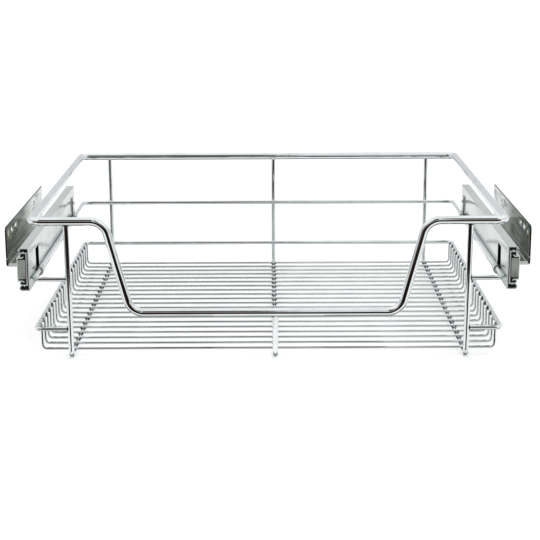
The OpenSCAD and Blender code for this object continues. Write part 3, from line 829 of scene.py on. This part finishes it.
class BASKET_OT_welds(bpy.types.Operator):
    """Sets the beads of the resistance welds, and the ring of the rim's butt weld"""

    bl_idname = "basket.welds"
    bl_label = "Welds"

    def execute(self, context):
        s = context.scene.basket_sizes
        beads = self.floor_beads(s) + self.frame_beads(s)
        places, reach = zip(*beads)
        source = mesh_object("weld_places", places, reach=reach)
        finish = weld_finish("Weld skin", s.chrome, s.shadowed)
        welds = grow("weld_beads", source, bead_tree(), {"Fineness": 3, "Finish": finish})
        finish_piece(welds, "basket", [])
        self.butt_weld(s, chrome())
        return {"FINISHED"}

    def floor_beads(self, s):
        """The beads of each floor wire: two at each hoop, and one at each end."""
        beads = []
        end_x, touch_z = FIRST_WIRE[1].x, s.hoop_diameter
        for y in spread(*wire_run(s), s.wire_count):
            for x, _ in hoop_places(s):
                beads += [((x + way * BEAD_OFFSET, y, touch_z), FLOOR_BEAD) for way in (-1, 1)]
            beads += [((way * end_x, y, s.low_level), WIRE_END_BEAD) for way in (-1, 1)]
        return beads

    def frame_beads(self, s):
        """The beads between the hoops, the rim and the rails."""
        beads = []
        levels = (s.mid_level, s.low_level)
        back = HOOP_BACK - s.hoop_diameter
        for x, top in hoop_places(s):
            z = top - s.rim_diameter / 2
            beads.append(((x, back, rim_level(s)), BACK_RIM_BEAD))
            beads += [((x, back, level), BACK_RAIL_BEAD) for level in levels]
            beads.append(((x, front_y(z, s), z), HOOP_TOP_BEAD))
        side = s.hoop_offset + s.hoop_diameter / 2
        return beads + [((way * side, front_y(level, s), level), FRONT_RAIL_BEAD)
                        for way in (-1, 1) for level in levels]

    def butt_weld(self, s, finish):
        """A low ring of weld metal round the rim, a little uneven."""
        half, rim_z = s.rim_diameter / 2, rim_level(s)
        back = RIM_LOW.y + half + s.rim_run
        rings, around = 9, 40
        sunk, half_width, ripple = 0.00005, 0.0012, 0.0002
        work = bmesh.new()
        loops = []
        for i in range(rings):
            t = i / (rings - 1) * 2 - 1
            swell = 0.7 * s.weld_bead * (1 - t * t) - sunk
            loops.append([])
            for k in range(around):
                a = 2 * math.pi * k / around
                r = half + swell * (0.85 + 0.15 * math.sin(5 * a + 2 * t))
                x = s.butt_weld_x + t * half_width + ripple * math.sin(3 * a)
                point = (x, back + r * math.cos(a), rim_z + r * math.sin(a))
                loops[-1].append(work.verts.new(point))
        for one, two in zip(loops, loops[1:]):
            for k in range(around):
                after = (k + 1) % around
                work.faces.new((one[k], one[after], two[after], two[k]))
        work.faces.new(loops[0])
        work.faces.new(loops[-1][::-1])
        bmesh.ops.recalc_face_normals(work, faces=work.faces)
        mesh = bpy.data.meshes.new("butt_weld_ring")
        work.to_mesh(mesh)
        work.free()
        mesh.materials.append(finish)
        mesh.shade_smooth()
        finish_piece(add_object("butt_weld_ring", mesh), "basket", [])


# ---- operators: the runners ----


class BASKET_OT_channels(bpy.types.Operator):
    """Dresses the drawer channels, with the tabs that hold the middle rail"""

    bl_idname = "basket.channels"
    bl_label = "Drawer channels"

    def execute(self, context):
        r = context.scene.runner_sizes
        low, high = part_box("left_drawer_channel")
        foot = context.scene.basket_sizes.mid_level
        skin, margin = 0.0002, 0.001
        # The windows' walls are painted near black as the shade in the windows.
        walls = ((r.channel_web + skin, low.y + margin, foot - skin),
                 (r.channel_web + r.channel_sheet, high.y - margin, foot + r.window_height + skin))
        finish = zinc_finish("Channel zinc", r.zinc, r.zinc_shade, r.dullness, low.y, walls=walls)
        for side in SIDES:
            dress(side + "_drawer_channel", "_sheet", finish, "basket",
                  r.sheet_edge, roll=r.roll_radius)
        return {"FINISHED"}


class BASKET_OT_members(bpy.types.Operator):
    """Dresses the middle members and the cabinet members"""

    bl_idname = "basket.members"
    bl_label = "Members"

    def execute(self, context):
        r = context.scene.runner_sizes
        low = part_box("right_middle_member")[0]
        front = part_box("left_drawer_channel")[0].y
        skin = 0.0002
        # The middle members' faces towards the basket are painted near black as the shade inside the
        # runners.
        painted_shade = zinc_finish("Zinc with painted shade", r.zinc, r.zinc_shade, r.dullness, low.y, low.x + skin)
        plain = zinc_finish("Runner zinc", r.zinc, r.zinc_shade, r.dullness, front)
        for side in SIDES:
            for part, body, finish in (("_middle_member", side + "_middle", painted_shade),
                                       ("_cabinet_member", "cabinet_side", plain)):
                dress(side + part, "_sheet", finish, body, r.sheet_edge)
        return {"FINISHED"}


class BASKET_OT_cages(bpy.types.Operator):
    """Dresses the ball cages"""

    bl_idname = "basket.cages"
    bl_label = "Ball cages"

    def execute(self, context):
        r = context.scene.runner_sizes
        finish = zinc_finish("Cage steel", r.cage, dimmed(r.cage, 0.8), dullness=0.3)
        for side in SIDES:
            for part in ("outer", "inner"):
                dress(f"{side}_{part}_cage", "_strip", finish, f"{side}_{part}_race",
                      r.cage_edge, segments=1)
        return {"FINISHED"}


class BASKET_OT_balls(bpy.types.Operator):
    """Fills the cages with polished balls"""

    bl_idname = "basket.balls"
    bl_label = "Balls"

    def execute(self, context):
        r = context.scene.runner_sizes
        finish = chrome_finish("Ball steel", r.ball, dullness=0.03)
        for side in SIDES:
            for part, diameter in (("outer", r.ball_large), ("inner", r.ball_small)):
                node = f"{side}_{part}_balls"
                low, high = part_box(node)
                x, half = (low.x + high.x) / 2, diameter / 2
                places = [(x, y, z) for y in spread(low.y + half, high.y - half, count=8)
                          for z in (low.z + half, high.z - half)]
                source = mesh_object(node + "_places", places, reach=[(half,) * 3] * len(places))
                balls = grow(node + "_steel", source, bead_tree(),
                             {"Fineness": 4, "Finish": finish})
                finish_piece(balls, f"{side}_{part}_race", [node])
        return {"FINISHED"}


class BASKET_OT_stops(bpy.types.Operator):
    """Moulds the end stops and the plugs that close the races"""

    bl_idname = "basket.stops"
    bl_label = "Stops and plugs"

    def execute(self, context):
        r = context.scene.runner_sizes
        grey = plastic_finish("Grey plastic", r.grey, dullness=0.32)
        black = plastic_finish("Black plastic", r.black, dullness=0.3)
        for side in SIDES:
            for part in ("_front_stop", "_rear_stop"):
                dress(side + part, "_block", grey, "cabinet_side",
                      r.stop_corner, segments=4)
            for part, body in (("_outer_race_plugs", side + "_middle"),
                               ("_inner_race_plugs", "cabinet_side")):
                dress(side + part, "_block", black, body, r.plug_edge)
        return {"FINISHED"}


# ---- operators: the brackets ----


class BASKET_OT_brackets(bpy.types.Operator):
    """Dresses the brackets that carry the runners on the cabinet's sides"""

    bl_idname = "basket.brackets"
    bl_label = "Brackets"

    def execute(self, context):
        r = context.scene.runner_sizes
        finish = bracket_finish("Bracket zinc", r, *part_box("left_bracket"))
        for side in SIDES:
            dress(side + "_bracket", "_sheet", finish, "cabinet_side",
                  r.bracket_edge)
        return {"FINISHED"}


class BASKET_OT_rivets(bpy.types.Operator):
    """Sets the rivets that join a bracket to its cabinet member"""

    bl_idname = "basket.rivets"
    bl_label = "Rivets"

    def execute(self, context):
        r = context.scene.runner_sizes
        finish = zinc_finish("Rivet steel", r.zinc, r.zinc_shade, dullness=0.18)
        for side in SIDES:
            node = side + "_rivets"
            low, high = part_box(node)
            x, z = (low.x + high.x) / 2, (low.z + high.z) / 2
            run = spread(low.y + r.rivet_head, high.y - r.rivet_head, count=4)
            places = [(x, y, z) for y in run]
            source = mesh_object(node + "_places", places)
            values = {
                "Shank Radius": r.rivet_shank, "Head Radius": r.rivet_head,
                "Head Height": r.rivet_height, "Grip": high.x - low.x - 2 * r.rivet_height,
                "Sides": 32, "Rings": 12, "Finish": finish,
            }
            rivets = grow(node + "_steel", source, rivet_tree(), values, ROD_CREASE)
            finish_piece(rivets, "cabinet_side", [node])
        return {"FINISHED"}


# ---- operators: the stage ----

FLOOR_REACH = 30.0
# Left front and right back corners of the cards under the basket's front.
WHITE_CARD = ((-0.06, -0.38), (0.06, -0.21))
DARK_CARD = ((-0.135, -0.60), (0.13, -0.212))
CARD_LIFT = 0.0004

# Soft steps of what metal mirrors, in the sine of the height angle, up is positive.
BELOW = (-0.75, -0.4)
HORIZON = (-0.08, 0.02)
OVERHEAD = (0.25, 0.55)
SLIT_SILL = (0.18, 0.28)
FOLD_LOW, FOLD_HIGH = (0.08, 0.2), (0.4, 0.55)
BEHIND = (-0.5, -0.15)  # in the share of the way that points back
# The curtain is tallest straight in front, about the side angle MIDDLE and as far as MIDDLE_REACH
# to both sides, in radians. There its foot hangs lower by FOOT_DROP, and by LEFT_DROP more to
# the left, and its top reaches higher by TOP_RISE.
MIDDLE, MIDDLE_REACH = -0.05, (0.38, 0.55)
FOOT_DROP, LEFT_DROP, TOP_RISE = 0.094, 0.13, 0.38


def plane(name, corners, z, material):
    """A flat rectangle that faces up, between two corners."""
    (left, front), (right, back) = corners
    mesh = bpy.data.meshes.new(name)
    points = [(left, front, z), (right, front, z), (right, back, z), (left, back, z)]
    mesh.from_pydata(points, [], [(0, 1, 2, 3)])
    mesh.materials.append(material)
    obj = add_object(name, mesh)
    return obj


class BASKET_OT_stage(bpy.types.Operator):
    """Lays the floor, sets the soft light and places the camera"""

    bl_idname = "basket.stage"
    bl_label = "Studio"

    def execute(self, context):
        s = context.scene.studio_settings
        far = FLOOR_REACH
        floor = plane("studio_floor", ((-far, -far), (far, far)), 0.0, self.floor(s))
        floor.visible_glossy = False
        basket = context.scene.basket_sizes
        bar_z = rim_level(basket) - basket.dip_depth - basket.rim_diameter / 2
        white = self.card("White card", s.near_floor, fibre=0.0)
        dark = self.card("Dark card", s.curtain, fibre=0.9)
        for card in (plane("white_card", WHITE_CARD, CARD_LIFT, white),
                     plane("dark_card", DARK_CARD, bar_z, dark)):
            card.visible_camera = False
            card.visible_diffuse = False
            card.visible_shadow = False
            card.visible_transmission = False
        self.light(s)
        self.camera(s)
        context.scene.view_settings.view_transform = "Standard"
        return {"FINISHED"}

    def floor(self, s):
        """A pale floor. The camera sees it lifted to white, and it keeps the basket's shadow."""
        material, tree, place = new_material("Studio floor")
        rays = tree.add("ShaderNodeLightPath").socket.node.outputs
        speck = noise(tree, place, scale=3.0)
        colour = mix_colour(tree, 0.03 * speck, s.floor_colour, WHITE)
        paper = tree.add("ShaderNodeBsdfDiffuse", {"Color": colour})
        lift = s.floor_lift * Part(tree, rays["Is Camera Ray"])
        glow = tree.add("ShaderNodeEmission", {"Color": (*WHITE, 1.0), "Strength": lift})
        both = tree.add("ShaderNodeAddShader", {0: paper, 1: glow})
        tree.add("ShaderNodeOutputMaterial", {"Surface": both})
        return material

    def card(self, name, tone, fibre):
        """A card that only the metal sees, in an even tone with some fibre."""
        material, tree, place = new_material(name)
        grain = noise(tree, place, scale=40.0)
        colour = mix_colour(tree, fibre * grain, tone, dimmed(tone, 0.6))
        glow = tree.add("ShaderNodeEmission", {"Color": colour, "Strength": 1.0})
        tree.add("ShaderNodeOutputMaterial", {"Surface": glow})
        return material

    def mirrored(self, s, tree):
        """What metal sees: a pale studio, and in front of it a dark curtain with an opening."""
        across, back, up = split(tree, tree.add("ShaderNodeTexCoord", output="Generated"))
        # Painted shadow: the floor below is grey, as the basket shades it.
        behind = mix_colour(tree, up.smooth(*BELOW), s.under_floor, s.far_floor)
        floor = mix_colour(tree, back.smooth(*BEHIND), s.near_floor, behind)
        sky = mix_colour(tree, up.smooth(*OVERHEAD), s.horizon, s.overhead)
        studio = mix_colour(tree, up.smooth(*HORIZON), floor, sky)
        side = tree.add("ShaderNodeMath", {0: across, 1: 0.0 - back}, operation="ARCTAN2")
        soft, left, right = s.curtain_soft, s.slit_left, s.slit_right
        opening = (side.smooth(left, left + soft / 4) * side.fade(right - soft / 2, right)
                   * up.smooth(*SLIT_SILL))
        fold = up.smooth(*FOLD_LOW) * up.fade(*FOLD_HIGH)
        shaded = side.smooth(s.curtain_left, left - 2 * soft)
        cloth = mix_colour(tree, shaded, s.curtain_edge, s.curtain)
        cloth = mix_colour(tree, fold, cloth, s.curtain_fold)
        cloth = mix_colour(tree, opening, cloth, s.slit)
        middle = (side - MIDDLE).absolute().fade(*MIDDLE_REACH)
        foot = up + middle * (FOOT_DROP + LEFT_DROP * side.fade(-2 * soft, 2 * soft))
        top = up + TOP_RISE * (1.0 - middle)
        low, high = s.curtain_low, s.curtain_high
        covered = (side.smooth(s.curtain_left - soft, s.curtain_left + soft)
                   * side.fade(s.curtain_right - soft, s.curtain_right + soft)
                   * foot.smooth(math.sin(low - soft / 3), math.sin(low + soft / 3))
                   * top.fade(math.sin(high - 2 * soft), math.sin(high + 2 * soft)))
        return mix_colour(tree, covered, studio, cloth)

    def light(self, s):
        """White to the camera, even to dull surfaces, and the mirrored studio to metal."""
        world = bpy.data.worlds.new("Studio")
        world.use_nodes = True
        world.node_tree.nodes.clear()
        bpy.context.scene.world = world
        tree = Tree(world.node_tree)
        mirrored, even, white = (
            tree.add("ShaderNodeBackground", {"Color": colour, "Strength": strength})
            for colour, strength in ((self.mirrored(s, tree), 1.0),
                                     ((*WHITE, 1.0), s.sky_level), ((*WHITE, 1.0), 1.0)))
        rays = tree.add("ShaderNodeLightPath").socket.node.outputs
        glossy, seen = (Part(tree, rays[key]) for key in ("Is Glossy Ray", "Is Camera Ray"))
        light = tree.add("ShaderNodeMixShader", {0: glossy, 1: even, 2: mirrored})
        shown = tree.add("ShaderNodeMixShader", {0: seen, 1: light, 2: white})
        tree.add("ShaderNodeOutputWorld", {"Surface": shown})
        lamp = bpy.data.lights.new("soft_lamp", "SUN")
        lamp.energy = s.lamp_level
        lamp.angle = s.lamp_spread
        obj = add_object("soft_lamp", lamp)
        obj.visible_glossy = False
        obj.rotation_euler = (s.lamp_pitch, s.lamp_roll, 0.0)

    def camera(self, s):
        """The camera at the photograph's place, with its lean."""
        ahead = Vector((math.sin(s.yaw) * math.cos(s.pitch), math.cos(s.yaw) * math.cos(s.pitch),
                        -math.sin(s.pitch)))
        level = Vector((math.cos(s.yaw), -math.sin(s.yaw), 0.0))
        up = level.cross(ahead)
        right = level * math.cos(s.roll) + up * math.sin(s.roll)
        up = up * math.cos(s.roll) - level * math.sin(s.roll)
        data = bpy.data.cameras.new("camera")
        data.lens = s.lens
        data.sensor_width = 36.0
        data.clip_start, data.clip_end = 0.05, 200.0
        camera = add_object("camera", data)
        turn = Matrix((right, up, -ahead)).transposed().to_4x4()
        camera.matrix_world = Matrix.Translation(Vector(s.camera_place)) @ turn
        bpy.context.scene.camera = camera


# ---- panel and registration ----

STEPS = (BASKET_OT_top_rim, BASKET_OT_rails, BASKET_OT_hoops, BASKET_OT_floor_wires,
         BASKET_OT_welds, BASKET_OT_channels, BASKET_OT_members, BASKET_OT_cages,
         BASKET_OT_balls, BASKET_OT_stops, BASKET_OT_brackets, BASKET_OT_rivets, BASKET_OT_stage)


class VIEW3D_PT_basket(bpy.types.Panel):
    """Lists the basket's sizes and its building steps"""

    bl_label = "Pull out basket"
    bl_idname = "VIEW3D_PT_basket"
    bl_space_type = "VIEW_3D"
    bl_region_type = "UI"
    bl_category = "Basket"

    def draw(self, context):
        for group in ("basket_sizes", "runner_sizes", "studio_settings"):
            box = self.layout.box()
            settings = getattr(context.scene, group)
            for key in settings.__annotations__:
                box.prop(settings, key)
        for step in STEPS:
            self.layout.operator(step.bl_idname)


CLASSES = (BasketSizes, RunnerSizes, StudioSettings, *STEPS, VIEW3D_PT_basket)


def register():
    for one in CLASSES:
        bpy.utils.register_class(one)
    bpy.types.Scene.basket_sizes = bpy.props.PointerProperty(type=BasketSizes)
    bpy.types.Scene.runner_sizes = bpy.props.PointerProperty(type=RunnerSizes)
    bpy.types.Scene.studio_settings = bpy.props.PointerProperty(type=StudioSettings)


def unregister():
    del bpy.types.Scene.basket_sizes, bpy.types.Scene.runner_sizes
    del bpy.types.Scene.studio_settings
    for one in reversed(CLASSES):
        bpy.utils.unregister_class(one)


def main():
    """Builds every piece in turn."""
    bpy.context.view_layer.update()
    register()
    for step in STEPS:
        group, name = step.bl_idname.split(".")
        getattr(getattr(bpy.ops, group), name)()


if __name__ == "__main__":
    main()
